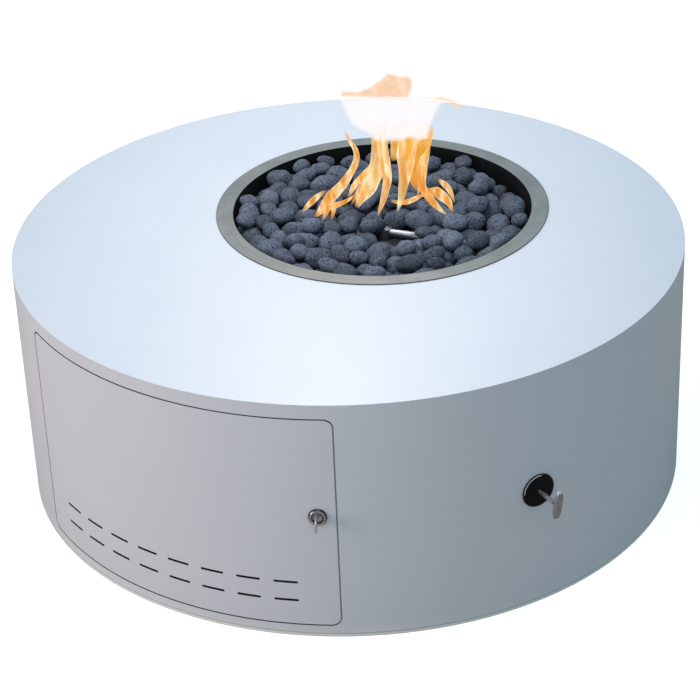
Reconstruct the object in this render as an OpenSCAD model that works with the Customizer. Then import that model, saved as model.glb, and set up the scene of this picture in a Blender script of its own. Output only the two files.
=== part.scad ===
// Round gas fire pit: a rolled sheet-metal drum with a flush curved access door, an off-centre
// drop-in burner pan filled with tumbled lava stones, and a gas valve worked by a loose key.
// The origin is the centre of the foot, +Z is up and the door faces -Y. Lengths are millimetres.

/* [Drum] */
// Outside diameter of the drum
body_d = 1220; // [1160:10:1400]
// Height from the floor to the top of the top plate
body_h = 456; // [450:2:540]
// Thickness of the rolled wall
wall_t = 3; // [2:0.5:4]
// Thickness of the top plate
top_t = 4; // [3:0.5:6]
// Width of the flange turned in at the foot
foot_w = 26; // [20:1:30]
// Thickness of the foot flange
foot_t = 3; // [2:0.5:5]
// Side of the square tube posts
post_side = 25; // [20:1:32]
// Wall of the square tube posts
post_t = 2; // [1.5:0.5:3]

/* [Door] */
// Width of the door across its chord
door_w = 612; // [560:2:640]
// Depth of the door's upper edge below the drum's top
door_high = 28; // [24:1:40]
// Height of the door's lower edge above the floor
door_low = 25; // [20:1:30]
// Gap between the door and its opening
door_gap = 2.5; // [2:0.5:3]
// Radius of the door's corners
door_corner_r = 14; // [8:1:24]
// Distance from the door's edge to the hinge axis, along the wall
hinge_inset = 23; // [22:1:28]
// Outside radius of a hinge knuckle
knuckle_r = 5.5; // [5:0.5:6]
// Radius of the hinge pins
hinge_pin_r = 2.5; // [2:0.25:3]
// Height of one hinge
hinge_h = 42; // [36:2:60]
// Depth of the strip that the door closes against
stop_w = 25; // [20:1:30]
// Overlap of that strip behind the door
stop_lap = 10; // [8:1:12]

/* [Vents] */
// Slots in each row
slot_count = 8; // [6:1:8]
// Rows of slots
slot_rows = 2; // [1:1:3]
// Length of a slot along the wall
slot_len = 42.5; // [30:0.5:50]
// Height of a slot
slot_h = 4.5; // [3:0.5:7]
// Distance from slot to slot along the wall
slot_pitch = 65.8; // [60:0.2:68]
// Height of the lowest row above the floor
slot_low = 73; // [60:1:90]
// Distance from row to row
slot_row_pitch = 36.5; // [25:0.5:40]

/* [Lock] */
// Height of the lock above the floor
lock_z = 243; // [200:1:300]
// Distance from the lock to the door's edge, along the wall
lock_inset = 30; // [28:1:34]
// Radius of the lock's face
lock_face_r = 16; // [13:0.5:17]
// Radius of the lock's threaded barrel
lock_barrel_r = 9.5; // [8.5:0.5:10.5]
// Radius of the turning plug
lock_plug_r = 6; // [5.5:0.25:7]
// Reach of the latch cam from the lock's axis
cam_reach = 43; // [40:1:46]
// Width of the latch cam
cam_w = 16; // [14:1:18]

/* [Burner pan] */
// Distance of the pan's centre behind the drum's centre
pan_offset = 120; // [60:5:150]
// Radius of the pan's mouth
pan_r = 277; // [260:1:300]
// Width of the flange that rests on the top plate
pan_flange_w = 32; // [24:1:36]
// Thickness of the pan's sheet
pan_t = 2; // [1.5:0.5:3]
// Depth of the pan below its flange
pan_depth = 88; // [84:1:96]
// Radius of the pan's drain holes
drain_r = 5; // [3:0.5:8]

/* [Burner] */
// Radius of the burner ring, to the centre of its tube
ring_r = 150; // [120:5:180]
// Radius of the burner's tubes
tube_r = 8; // [7:0.5:9]
// Wall of the burner's tubes
tube_t = 1; // [0.8:0.1:1.5]
// Depth of the burner's tubes below the top plate, to their centre
burner_sink = 51; // [45:1:56]
// Direction of the cross tube, from +X
cross_tube_turn = 11; // [0:1:45]
// Radius of the burner's hub
hub_r = 17; // [15:1:18]
// Radius of a gas port
port_r = 1.25; // [1:0.25:1.5]
// Ports round the ring
port_count = 24; // [12:4:36]

/* [Lava stones] */
// Distance from stone to stone
stone_pitch = 45; // [44:1:60]
// Longest half width of a stone
stone_long = 21.5; // [17:0.5:21.5]
// Half height of a stone
stone_high = 15; // [12:0.5:17]
// Rise of the lava fill from the burner's ring to the pan's edge
fill_rise = 9; // [0:1:12]
// Length of the cross tube that is left bare of stones
bare_len = 95; // [60:5:120]

/* [Gas valve] */
// Direction of the valve, from +X
valve_turn = -26.84; // [-35:0.5:-15]
// Depth of the valve below the drum's top
valve_down = 227.5; // [200:0.5:260]
// Radius of the cover plate round the valve
plate_r = 31; // [26:0.5:36]
// Thickness of that plate
plate_t = 3; // [2:0.5:4]
// Radius of the valve's threaded neck
neck_r = 10.5; // [10:0.25:12]
// Radius of the valve's ball
ball_r = 12; // [11:0.5:13]
// Side of the stem's square
stem_side = 6.35; // [6:0.05:7]
// Height of the key's handle
key_handle_len = 54; // [40:1:70]
// Width of the key's handle
key_handle_w = 15; // [12:1:20]
// Thickness of the key's handle
key_handle_t = 6; // [5:0.5:8]
// Distance of the key's handle from the wall
key_reach = 54; // [45:1:70]
// Radius of the key's shaft
key_shaft_r = 3.8; // [3:0.1:4.2]

/* [Gas line] */
// Radius of the connector hose
hose_r = 8; // [7:0.5:9]
// Radius of the hose's bend
hose_bend_r = 48; // [40:1:50]
// Length of the air mixer
mixer_len = 70; // [50:1:90]
// Radius of the air mixer
mixer_r = 14; // [12:0.5:16]

/* [Hidden] */

// Overrun of every cut past the face it leaves
over = 1;
// Clearance between a piece and its seat
seat = 0.3;
// Radial clearance of a turning fit
running = 0.05;
// Fineness of the round surfaces
$fn = 96;

// The drum's surfaces
body_r = body_d / 2;
wall_in = body_r - wall_t;
top_low = body_h - top_t;
door_h = body_h - door_low - door_high;
valve_z = body_h - valve_down;
deg_per_mm = 180 / PI / body_r;

// The hinge's axis, and how far its pieces keep from the swinging edge of the door
door_edge_turn = acos(door_w / 2 / body_r) - 180;
hinge_play = 1.5;
hinge_r = wall_in - hinge_play - knuckle_r;
hinge_turn = door_edge_turn + hinge_inset * deg_per_mm;
hinge_sheet = 3;
hinge_arm_off = 2;
hinge_neck_play = 6;
hinge_neck_y = hinge_inset + door_gap + hinge_neck_play;
hinge_neck_x = hinge_inset + hinge_neck_play;
hinge_leaf_w = 26;
hinge_free = 2 * hinge_inset + knuckle_r;
hinge_z_shares = [0.16, 0.84];
hinge_z = [for (share = hinge_z_shares) door_low + share * door_h];
knuckle_gap = 0.3;
knuckle_h = hinge_h / 3;
pin_head_r = 4.5;
pin_head_h = 2;

// The lock's place and its pieces, measured outwards from the drum's surface
lock_turn_at = -180 - door_edge_turn - lock_inset * deg_per_mm;
lock_face_t = 5;
lock_recess_r = 9;
lock_recess = 1.6;
lock_nut_af = 24;
lock_nut_t = 5;
lock_thread_end = 1;
lock_barrel_end = wall_t + seat + lock_nut_t + lock_thread_end;
cam_t = 2.5;
cam_front = lock_barrel_end + seat;
tang_side = 6.5;
cam_screw_r = 4.5;
cam_screw_head = 2.6;
cam_screw_shank_r = 1.6;
keyway_w = 2.5;
keyway_h = 8.6;
lock_key_t = 2.1;
lock_key_blade_h = 8;
lock_key_in = 7;
lock_key_neck = 15;
lock_key_bow_r = 12;
lock_key_hole_r = 3;

// The pan, its fill and the burner
pan_at = [0, pan_offset, 0];
pan_hole_play = 4;
pan_hole_r = pan_r + pan_t + pan_hole_play;
pan_floor = body_h + pan_t - pan_depth;
collar_t = 4;
collar_h = 22;
drain_share = 0.8;
drain_count = 6;
burner_z = body_h - burner_sink;
nipple_r = 10;
nipple_bore_r = 6.5;
nipple_in = 7;
hub_rim = 4;
hub_cap = 1;
hub_h = 2 * tube_r + hub_rim + hub_cap;
hub_low = burner_z - tube_r - hub_rim;
fill_hub_play = 4;
fill_hole_r = hub_r + fill_hub_play;
locknut_af = 34;
locknut_t = 6;
elbow_drop = 40;
elbow_z = pan_floor - elbow_drop;
fill_play = 1;
fill_r = pan_r - fill_play;
fill_top = burner_z - tube_r - seat;
fill_flat_r = ring_r + tube_r;

// Each stone is sized and turned by its number
stone_turn = 137.508;
stone_play = 0.3;
stone_width_share = 0.84;
stone_size_shares = [0.9, 1, 0.94, 0.98, 0.86, 0.97, 0.92];
stone_high_shares = [1, 0.88, 1.08, 0.94, 1.02];
stone_reach = fill_r - stone_long - stone_play;
stone_rows = floor(stone_reach / stone_pitch);
stone_places = [for (row = [-stone_rows:stone_rows], i = [-stone_rows - 1:stone_rows])
    let (place = stone_pitch * [i + 0.25 + 0.5 * (abs(row) % 2), row],
        along = place[0] * cos(cross_tube_turn) + place[1] * sin(cross_tube_turn),
        bare = along > 0 && along < bare_len && abs(across_at(place)) < 2 * tube_r)
    if (norm(place) < stone_reach && !bare) place];

// The valve's pieces, measured outwards from the drum's surface
valve_in = 46;
neck_out = 2.5;
neck_bore_r = 6;
plate_boss_r = 13;
plate_boss_h = 3;
plate_mouth_r = 7.2;
valve_nut_af = 30;
valve_nut_t = 6;
body_barrel_r = 17;
pipe_r = 15;
pipe_half = 36;
pipe_bore_r = 8;
ball_play = 0.1;
ball_bore_r = 7;
stem_r = 4.5;
stem_end = 10;
stem_square_len = 14;
ball_slot_depth = 3;
ball_slot_w = 5;
key_square_play = 0.25;
key_socket_r = 5.6;
key_socket_len = 18;
adapter_af = 26;
adapter_hex_t = 10;
adapter_r = 7.94;
adapter_bore_r = 4.5;
adapter_len = 14;
hose_nut_af = 24;
hose_nut_t = 12;
hose_t = 1.5;

// The hose's run from the valve up to the level of the elbow and across to the air mixer
valve_r = body_r - valve_in;
valve_xy = valve_r * [cos(valve_turn), sin(valve_turn)];
run_vector = [pan_at[0] - valve_xy[0], pan_at[1] - valve_xy[1]];
run_len = norm(run_vector);
run_turn = atan2(run_vector[1], run_vector[0]);
elbow_body_r = 15;
elbow_arm = 24;
mixer_hole_r = 4;
mixer_bore_r = 9;
hose_low = valve_z + pipe_half + hose_nut_t;
hose_bend_z = elbow_z - hose_bend_r;
hose_end = run_len - elbow_arm - mixer_len - hose_nut_t;

// Posts stand beside the door and round the back, clear of the valve
post_turns = [door_edge_turn - 7.5, 188, 148, 105, 62, 18, -180 - door_edge_turn + 6.5];
post_sag = body_r - sqrt(pow(body_r, 2) - pow(post_side / 2, 2));

// Puts its children at a direction round the drum, their +Z outwards and their +X down
module facing(turn, z, r = body_r) {
    translate([r * cos(turn), r * sin(turn), z]) rotate([0, 90, turn]) children();
}

// Puts its children at the pan's centre
module at_pan(z = 0) {
    translate([pan_at[0], pan_at[1], z]) children();
}

// A ring about +Z
module ring(outer, inner, h, z = 0) {
    translate([0, 0, z]) difference() {
        cylinder(r = outer, h = h);
        translate([0, 0, -over]) cylinder(r = inner, h = h + 2 * over);
    }
}

// Round bar bent about +Z at a radius, between two directions
module bent_bar(bend_r, r, from, to) {
    rotate([0, 0, from]) rotate_extrude(angle = to - from) translate([bend_r, 0]) circle(r = r, $fn = 48);
}

// A hexagonal nut blank about +Z, by its width across flats
module hex(af, h) {
    cylinder(r = af / sqrt(3), h = h, $fn = 6);
}

// A hexagonal nut with a round bore
module nut(af, h, bore) {
    difference() {
        hex(af, h);
        translate([0, 0, -over]) cylinder(r = bore, h = h + 2 * over);
    }
}

// The corner points of a rectangle with round corners, centred, with steps chords to a corner
function round_rect(w, h, r, steps = 8) = [
    for (corner = [0:3], i = [0:steps])
        let (turn = 90 * (corner + i / steps),
            side = [corner == 0 || corner == 3 ? 1 : -1, corner < 2 ? 1 : -1])
        [side[0] * (w / 2 - r) + r * cos(turn), side[1] * (h / 2 - r) + r * sin(turn)]
];

// The door's shape cut straight through the wall, grown by a margin on every side
module door_prism(grow) {
    translate([0, 0, door_low + door_h / 2]) rotate([90, 0, 0]) linear_extrude(body_d)
        polygon(round_rect(door_w + 2 * grow, door_h + 2 * grow, door_corner_r + grow));
}

// The block of vent slots, centred on a direction
module vent_slots(middle) {
    for (row = [0:slot_rows - 1], i = [0:slot_count - 1])
        let (turn = middle + (i - (slot_count - 1) / 2) * slot_pitch * deg_per_mm)
            facing(turn, slot_low + row * slot_row_pitch, wall_in - over)
                linear_extrude(wall_t + 2 * over)
                    polygon(round_rect(slot_h, slot_len, slot_h / 2 - slot_h / 100, 5));
}

// A hole for a fitting, through the wall
module wall_hole(turn, z, r) {
    facing(turn, z, wall_in - over) cylinder(r = r, h = wall_t + 2 * over);
}

// Drum

module side_wall() {
    color("gainsboro") difference() {
        ring(body_r, wall_in, top_low);
        door_prism(door_gap);
        wall_hole(valve_turn, valve_z, neck_r + seat);
        vent_slots(90);
    }
}

module top_plate() {
    color("aliceblue") difference() {
        translate([0, 0, top_low]) cylinder(r = body_r, h = top_t);
        at_pan(top_low - over) cylinder(r = pan_hole_r, h = top_t + 2 * over);
    }
}

module foot_flange() {
    color("lightgray") ring(wall_in, wall_in - foot_w, foot_t);
}

// Square tubes from the foot flange to the top plate
module frame_posts() {
    post_r = wall_in - seat - post_sag - post_side / 2;
    color("lightgray") for (turn = post_turns)
        rotate([0, 0, turn]) translate([post_r, 0, foot_t]) difference() {
            translate([-post_side / 2, -post_side / 2, 0])
                cube([post_side, post_side, top_low - foot_t]);
            translate([-post_side / 2 + post_t, -post_side / 2 + post_t, -over])
                cube([post_side - 2 * post_t, post_side - 2 * post_t, body_h]);
        }
}

// Flat bar rolled round the pan's hole, under the top plate
module pan_collar() {
    color("lightgray") at_pan() ring(pan_hole_r + collar_t, pan_hole_r, collar_h, top_low - collar_h);
}

// Strip behind the door's top, lock side and bottom, which leaves the hinge side free
module door_stop() {
    outer = wall_in - seat;
    color("lightgray") difference() {
        intersection() {
            ring(outer, outer - wall_t, body_h);
            door_prism(stop_w - stop_lap);
        }
        door_prism(-stop_lap);
        translate([-body_d, -body_d, 0])
            cube([body_d - door_w / 2 + hinge_free, body_d, body_h]);
    }
}

// Hinges

// Puts its children on a hinge's axis, +X outwards and +Y along the wall towards the door
module at_hinge(z) {
    translate([hinge_r * cos(hinge_turn), hinge_r * sin(hinge_turn), z]) rotate([0, 0, hinge_turn])
        children();
}

// Depth of the wall's inner face behind the hinge's axis, at a distance along the wall
function wall_x(y) = sqrt(pow(wall_in, 2) - pow(y, 2)) - hinge_r - seat;

// Bent arm that reaches round the door's inner edge, seen from above
module hinge_arm() {
    near = hinge_neck_y;
    far = hinge_neck_y + hinge_leaf_w;
    arm = hinge_arm_off + hinge_sheet;
    back = -hinge_neck_x - hinge_sheet;
    polygon([
        [wall_x(far) - hinge_sheet, -far], [wall_x(far), -far], [wall_x(near), -near],
        [-hinge_neck_x, -near], [-hinge_neck_x, hinge_arm_off], [0, hinge_arm_off],
        [0, arm], [back, arm], [back, -near - hinge_sheet],
        [wall_x(near) - hinge_sheet, -near - hinge_sheet]
    ]);
}

module hinge_brackets() {
    color("silver") for (z = hinge_z) at_hinge(z - hinge_h / 2) difference() {
        union() {
            linear_extrude(hinge_h) hinge_arm();
            cylinder(r = knuckle_r, h = hinge_h);
        }
        translate([0, 0, knuckle_h]) cylinder(r = knuckle_r + hinge_play / 2, h = knuckle_h);
        translate([0, 0, -over]) cylinder(r = hinge_pin_r, h = hinge_h + 2 * over);
    }
}

module hinge_pins() {
    color("dimgray") for (z = hinge_z) at_hinge(z - hinge_h / 2) {
        cylinder(r = hinge_pin_r, h = hinge_h);
        translate([0, 0, hinge_h]) cylinder(r = pin_head_r, h = pin_head_h);
    }
}

// Door

module door_panel() {
    color("gainsboro") difference() {
        intersection() {
            ring(body_r, wall_in, body_h);
            door_prism(0);
        }
        vent_slots(-90);
        wall_hole(lock_turn_at, lock_z, lock_barrel_r + running);
    }
}

// Knuckles on the door's back, each with the web that is welded to the panel
module hinge_knuckles() {
    web_reach = wall_in - hinge_r;
    color("silver") for (z = hinge_z)
        at_hinge(z - hinge_h / 2 + knuckle_h + knuckle_gap) difference() {
            union() {
                cylinder(r = knuckle_r, h = knuckle_h - 2 * knuckle_gap);
                cube([web_reach - seat, knuckle_r, knuckle_h - 2 * knuckle_gap]);
            }
            translate([0, 0, -over]) cylinder(r = hinge_pin_r + running, h = knuckle_h + 2 * over);
        }
}

// Lock

// The lock's face and threaded barrel, turned in one piece
module lock_barrel() {
    color("silver") facing(lock_turn_at, lock_z) difference() {
        union() {
            rotate_extrude() polygon([
                [0, 0], [lock_face_r, 0], [lock_face_r, lock_face_t / 4],
                [lock_face_r * 0.92, lock_face_t * 0.7], [lock_face_r * 0.8, lock_face_t],
                [lock_recess_r * 1.1, lock_face_t], [lock_recess_r, lock_face_t - lock_recess],
                [0, lock_face_t - lock_recess]
            ]);
            translate([0, 0, -lock_barrel_end]) cylinder(r = lock_barrel_r, h = lock_barrel_end + over);
        }
        translate([0, 0, -lock_barrel_end - over])
            cylinder(r = lock_plug_r + running, h = lock_barrel_end + lock_face_t + 2 * over);
    }
}

module lock_nut() {
    color("silver") facing(lock_turn_at, lock_z) translate([0, 0, -wall_t - seat - lock_nut_t])
        nut(lock_nut_af, lock_nut_t, lock_barrel_r + running);
}

// The plug turns in the barrel, and its square tang carries the cam
module lock_plug() {
    color("silver") facing(lock_turn_at, lock_z) difference() {
        union() {
            translate([0, 0, -cam_front]) cylinder(r = lock_plug_r, h = cam_front + lock_face_t - lock_recess);
            translate([-tang_side / 2, -tang_side / 2, -cam_front - cam_t])
                cube([tang_side, tang_side, cam_t + over]);
        }
        translate([-keyway_h / 2, -keyway_w / 2, -lock_key_in - seat])
            cube([keyway_h, keyway_w, lock_key_in + lock_face_t + over]);
        translate([0, 0, -cam_front - cam_t - over]) cylinder(r = cam_screw_shank_r, h = cam_t + 2 * over);
    }
}

// Flat latch that turns behind the strip on the lock side
module lock_cam() {
    color("silver") facing(lock_turn_at, lock_z) translate([0, 0, -cam_front - cam_t]) difference() {
        union() {
            cylinder(r = cam_w / 2, h = cam_t);
            translate([0, -cam_w / 2, 0]) cube([cam_reach - cam_w / 2, cam_w, cam_t]);
            translate([cam_reach - cam_w / 2, 0, 0]) cylinder(r = cam_w / 2, h = cam_t);
        }
        translate([-tang_side / 2 - running, -tang_side / 2 - running, -over])
            cube([tang_side + 2 * running, tang_side + 2 * running, cam_t + 2 * over]);
    }
}

module cam_screw() {
    color("dimgray") facing(lock_turn_at, lock_z) translate([0, 0, -cam_front - cam_t - cam_screw_head]) {
        cylinder(r = cam_screw_r, h = cam_screw_head);
        cylinder(r = cam_screw_shank_r - running, h = cam_screw_head + cam_t);
    }
}

// Flat key, its blade and bow upright in the lock
module door_key() {
    blade_out = lock_face_t + lock_key_neck / 2;
    bow_z = lock_face_t + lock_key_neck + lock_key_bow_r / 2;
    shoulder_h = lock_key_blade_h * 1.3;
    notch_shares = [0.15, 0.4, 0.65];
    color("silver") facing(lock_turn_at, lock_z) translate([0, lock_key_t / 2, 0]) rotate([90, 0, 0])
        linear_extrude(lock_key_t) difference() {
            union() {
                translate([-lock_key_blade_h / 2, -lock_key_in])
                    square([lock_key_blade_h, lock_key_in + blade_out]);
                translate([-shoulder_h / 2, lock_face_t + seat])
                    square([shoulder_h, bow_z - lock_face_t - seat]);
                translate([0, bow_z]) circle(r = lock_key_bow_r);
            }
            translate([0, bow_z + lock_key_bow_r / 2]) circle(r = lock_key_hole_r);
            for (share = notch_shares) translate([lock_key_blade_h / 2, share * lock_key_in - lock_key_in])
                rotate([0, 0, 45]) square(lock_key_blade_h / 6, center = true);
        }
}

// Burner pan

module burner_pan() {
    flange_z = body_h;
    color("darkgray") at_pan() difference() {
        union() {
            ring(pan_r + pan_flange_w, pan_r, pan_t, flange_z);
            ring(pan_r + pan_t, pan_r, pan_depth, pan_floor);
            translate([0, 0, pan_floor]) cylinder(r = pan_r + pan_t, h = pan_t);
        }
        translate([0, 0, pan_floor - over]) cylinder(r = nipple_r + seat, h = pan_t + 2 * over);
        for (i = [0:drain_count - 1]) rotate([0, 0, 360 / drain_count * (i + 0.5)])
            translate([pan_r * drain_share, 0, pan_floor - over])
                cylinder(r = drain_r, h = pan_t + 2 * over);
    }
}

// Tubes of the burner: the ring and the cross tube, which both open into the hub
module burner_tubes(r) {
    translate([0, 0, burner_z]) {
        rotate_extrude() translate([ring_r, 0]) circle(r = r, $fn = 48);
        rotate([0, 90, cross_tube_turn]) translate([0, 0, -ring_r]) cylinder(r = r, h = 2 * ring_r, $fn = 48);
    }
}

module burner_ring() {
    color("lightgray") at_pan() difference() {
        burner_tubes(tube_r);
        burner_tubes(tube_r - tube_t);
        translate([0, 0, burner_z - hub_h]) cylinder(r = hub_r, h = 2 * hub_h);
        for (i = [0:port_count - 1]) rotate([0, 0, 360 / port_count * (i + 0.5)])
            translate([ring_r, 0, burner_z]) cylinder(r = port_r, h = 2 * tube_r, $fn = 24);
    }
}

// The hub joins the cross tube to the nipple
module burner_hub() {
    color("lightgray") at_pan() difference() {
        translate([0, 0, hub_low]) cylinder(r = hub_r - running, h = hub_h);
        translate([0, 0, hub_low - over]) cylinder(r = nipple_r, h = over + nipple_in);
        translate([0, 0, hub_low]) cylinder(r = nipple_bore_r, h = burner_z - hub_low);
        translate([0, 0, burner_z]) rotate([0, 90, cross_tube_turn])
            translate([0, 0, -hub_r - over]) cylinder(r = tube_r - tube_t, h = 2 * hub_r + 2 * over);
    }
}

// Pipe nipple from the elbow up through the pan's floor into the hub
module burner_nipple() {
    low = elbow_z + elbow_body_r;
    high = hub_low + nipple_in - seat;
    color("darkgray") at_pan() difference() {
        translate([0, 0, low]) cylinder(r = nipple_r - running, h = high - low);
        translate([0, 0, low - over]) cylinder(r = nipple_bore_r, h = high - low + 2 * over);
    }
}

module nipple_locknuts() {
    color("darkgray") for (z = [pan_floor + pan_t + seat / 2, pan_floor - locknut_t - seat / 2])
        at_pan(z) nut(locknut_af, locknut_t, nipple_r);
}

// Gas train under the pan

// Puts its children at the elbow, +X along the hose's run towards the valve
module at_elbow() {
    at_pan(elbow_z) rotate([0, 0, run_turn + 180]) children();
}

module pipe_elbow() {
    color("darkgray") at_elbow() difference() {
        union() {
            sphere(r = elbow_body_r);
            cylinder(r = elbow_body_r * 0.95, h = elbow_arm);
            rotate([0, 90, 0]) cylinder(r = elbow_body_r * 0.95, h = elbow_arm);
        }
        translate([0, 0, elbow_body_r]) cylinder(r = nipple_r, h = elbow_arm);
        cylinder(r = nipple_bore_r, h = elbow_arm);
        rotate([0, 90, 0]) cylinder(r = nipple_bore_r, h = elbow_arm + over);
        sphere(r = nipple_bore_r);
    }
}

// Tube with a ring of air holes, between the elbow and the hose
module air_mixer() {
    color("goldenrod") at_elbow() translate([elbow_arm, 0, 0]) rotate([0, 90, 0]) difference() {
        union() {
            cylinder(r = mixer_r, h = mixer_len * 0.72);
            hex(hose_nut_af, mixer_len);
        }
        translate([0, 0, -over]) cylinder(r = mixer_bore_r, h = mixer_len + 2 * over);
        for (i = [0:3]) rotate([0, 0, 45 + 90 * i]) translate([0, 0, mixer_len / 3])
            rotate([0, 90, 0]) cylinder(r = mixer_hole_r, h = 2 * mixer_r);
    }
}

module hose_nuts() {
    color("goldenrod") {
        translate([valve_xy[0], valve_xy[1], valve_z + pipe_half])
            nut(hose_nut_af, hose_nut_t, pipe_bore_r);
        at_elbow() translate([elbow_arm + mixer_len, 0, 0]) rotate([0, 90, 0])
            nut(hose_nut_af, hose_nut_t, pipe_bore_r);
    }
}

// Semi-rigid connector: up from the valve, one bend, then level to the air mixer
module gas_hose() {
    inner = hose_r - hose_t;
    color("lightgray") translate([valve_xy[0], valve_xy[1], 0]) rotate([0, 0, run_turn]) {
        ring(hose_r, inner, hose_bend_z - hose_low - seat, hose_low);
        translate([hose_bend_r, 0, hose_bend_z]) rotate([90, 0, 180]) difference() {
            bent_bar(hose_bend_r, hose_r, 0, 90);
            bent_bar(hose_bend_r, inner, -1, 91);
        }
        translate([hose_bend_r + seat, 0, elbow_z]) rotate([0, 90, 0])
            ring(hose_r, inner, hose_end - hose_bend_r - seat);
    }
}

// Lava fill and stones

// Height of the fill's top at a distance from the pan's centre
function fill_at(r) = fill_top + fill_rise * max(0, r - fill_flat_r) / (fill_r - fill_flat_r);

// Sideways distance of a place in the pan from the cross tube's centre line
function across_at(p) = p[1] * cos(cross_tube_turn) - p[0] * sin(cross_tube_turn);

// Height of the top of a tube at a sideways distance from its centre line
function tube_top(s) = abs(s) < tube_r ? burner_z + sqrt(pow(tube_r, 2) - pow(s, 2)) : 0;

// Height of what a stone lies on, at a place in the pan
function bed_at(p) =
    let (r = norm(p),
        hub_top = r < hub_r ? hub_low + hub_h : 0,
        cross_top = r < ring_r ? tube_top(across_at(p)) : 0)
    max(fill_at(r), tube_top(r - ring_r), hub_top, cross_top);

// Height of a stone's centre when it is lowered until it just clears the bed
function stone_height(place, half, turn) = stone_play + max([
    for (share = [0:0.125:0.97], around = [0:15:345])
        let (u = half[0] * share * cos(around), v = half[1] * share * sin(around))
        bed_at(place + [u * cos(turn) - v * sin(turn), u * sin(turn) + v * cos(turn)])
            + half[2] * sqrt(1 - pow(share, 2))
]);

module lava_fill() {
    low = pan_floor + pan_t + seat;
    color("dimgray") at_pan() rotate_extrude() polygon([
        [fill_hole_r, low], [fill_r, low], [fill_r, fill_top + fill_rise],
        [fill_flat_r, fill_top], [fill_hole_r, fill_top]
    ]);
}

// Tumbled stones in staggered rows, each resting on the fill or on the burner
module lava_stones() {
    color("slategray") at_pan() for (i = [0:len(stone_places) - 1])
        let (size = stone_size_shares[i % len(stone_size_shares)] * stone_long,
            half = [size, size * stone_width_share,
                stone_high * stone_high_shares[i % len(stone_high_shares)]],
            place = stone_places[i],
            turn = i * stone_turn)
            translate([place[0], place[1], stone_height(place, half, turn)]) rotate([0, 0, turn])
                scale(half) sphere(r = 1);
}

// Gas valve

module valve_body() {
    color("goldenrod") facing(valve_turn, valve_z) difference() {
        union() {
            translate([0, 0, -valve_in]) cylinder(r = neck_r, h = valve_in + neck_out);
            translate([0, 0, -valve_in - body_barrel_r]) cylinder(r = body_barrel_r, h = 2 * body_barrel_r);
            translate([-pipe_half, 0, -valve_in]) rotate([0, 90, 0])
                cylinder(r = pipe_r, h = 2 * pipe_half);
        }
        translate([0, 0, -valve_in]) sphere(r = ball_r + ball_play);
        translate([-pipe_half - over, 0, -valve_in]) rotate([0, 90, 0])
            cylinder(r = pipe_bore_r, h = 2 * pipe_half + 2 * over);
        translate([0, 0, -valve_in]) cylinder(r = stem_r + running, h = valve_in);
        translate([0, 0, -stem_end - stem_square_len]) cylinder(r = neck_bore_r, h = valve_in);
    }
}

module valve_locknut() {
    color("goldenrod") facing(valve_turn, valve_z) translate([0, 0, -wall_t - seat - valve_nut_t])
        nut(valve_nut_af, valve_nut_t, neck_r + running);
}

// Black plate over the hole in the wall, with a collar round the key's mouth
module valve_cover_plate() {
    edge = plate_t * 0.4;
    color("black") facing(valve_turn, valve_z) difference() {
        rotate_extrude() polygon([
            [0, 0], [plate_r, 0], [plate_r, plate_t - edge], [plate_r - edge, plate_t],
            [plate_boss_r + edge, plate_t], [plate_boss_r, plate_t + edge],
            [plate_boss_r - edge, plate_t + plate_boss_h], [0, plate_t + plate_boss_h]
        ]);
        translate([0, 0, -over]) cylinder(r = neck_r + running, h = over + neck_out + seat);
        cylinder(r = plate_mouth_r, h = plate_t + plate_boss_h + over);
    }
}

// Flare fitting on the valve's lower end, for the supply hose
module inlet_adapter() {
    color("goldenrod") translate([valve_xy[0], valve_xy[1], valve_z - pipe_half]) rotate([180, 0, 0])
        difference() {
            union() {
                hex(adapter_af, adapter_hex_t);
                cylinder(r = adapter_r, h = adapter_hex_t + adapter_len);
            }
            translate([0, 0, -over])
                cylinder(r = adapter_bore_r, h = adapter_hex_t + adapter_len + 2 * over);
        }
}

module valve_ball() {
    color("silver") facing(valve_turn, valve_z) translate([0, 0, -valve_in]) difference() {
        sphere(r = ball_r);
        translate([-ball_r - over, 0, 0]) rotate([0, 90, 0])
            cylinder(r = ball_bore_r, h = 2 * ball_r + 2 * over);
        translate([-ball_r, -ball_slot_w / 2, ball_r - ball_slot_depth])
            cube([2 * ball_r, ball_slot_w, ball_slot_depth + over]);
    }
}

// Stem with a blade that turns the ball and a square for the key
module valve_stem() {
    shoulder = -valve_in + ball_r + seat;
    color("silver") facing(valve_turn, valve_z) {
        translate([0, 0, shoulder])
            cylinder(r = stem_r, h = -stem_end - stem_square_len - shoulder);
        translate([-stem_r * 0.7, -ball_slot_w / 2 + seat, -valve_in + ball_r - ball_slot_depth + seat])
            cube([stem_r * 1.4, ball_slot_w - 2 * seat, ball_slot_depth + over]);
        translate([-stem_side / 2, -stem_side / 2, -stem_end - stem_square_len - over])
            cube([stem_side, stem_side, stem_square_len + over]);
    }
}

// The outline of the key's handle: two round ends joined by bowed sides
function handle_outline(len, w, steps = 10) =
    let (end_r = w * 0.32, bow = w / 2 - end_r, span = len / 2 - end_r)
    concat(
        [for (i = [0:steps]) let (a = -90 + 180 * i / steps) [span + end_r * cos(a), end_r * sin(a)]],
        [for (i = [1:steps - 1]) let (s = i / steps)
            [span - 2 * span * s, end_r + bow * sin(180 * s)]],
        [for (i = [0:steps]) let (a = 90 + 180 * i / steps) [-span + end_r * cos(a), end_r * sin(a)]],
        [for (i = [1:steps - 1]) let (s = i / steps)
            [-span + 2 * span * s, -end_r - bow * sin(180 * s)]]
    );

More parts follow.
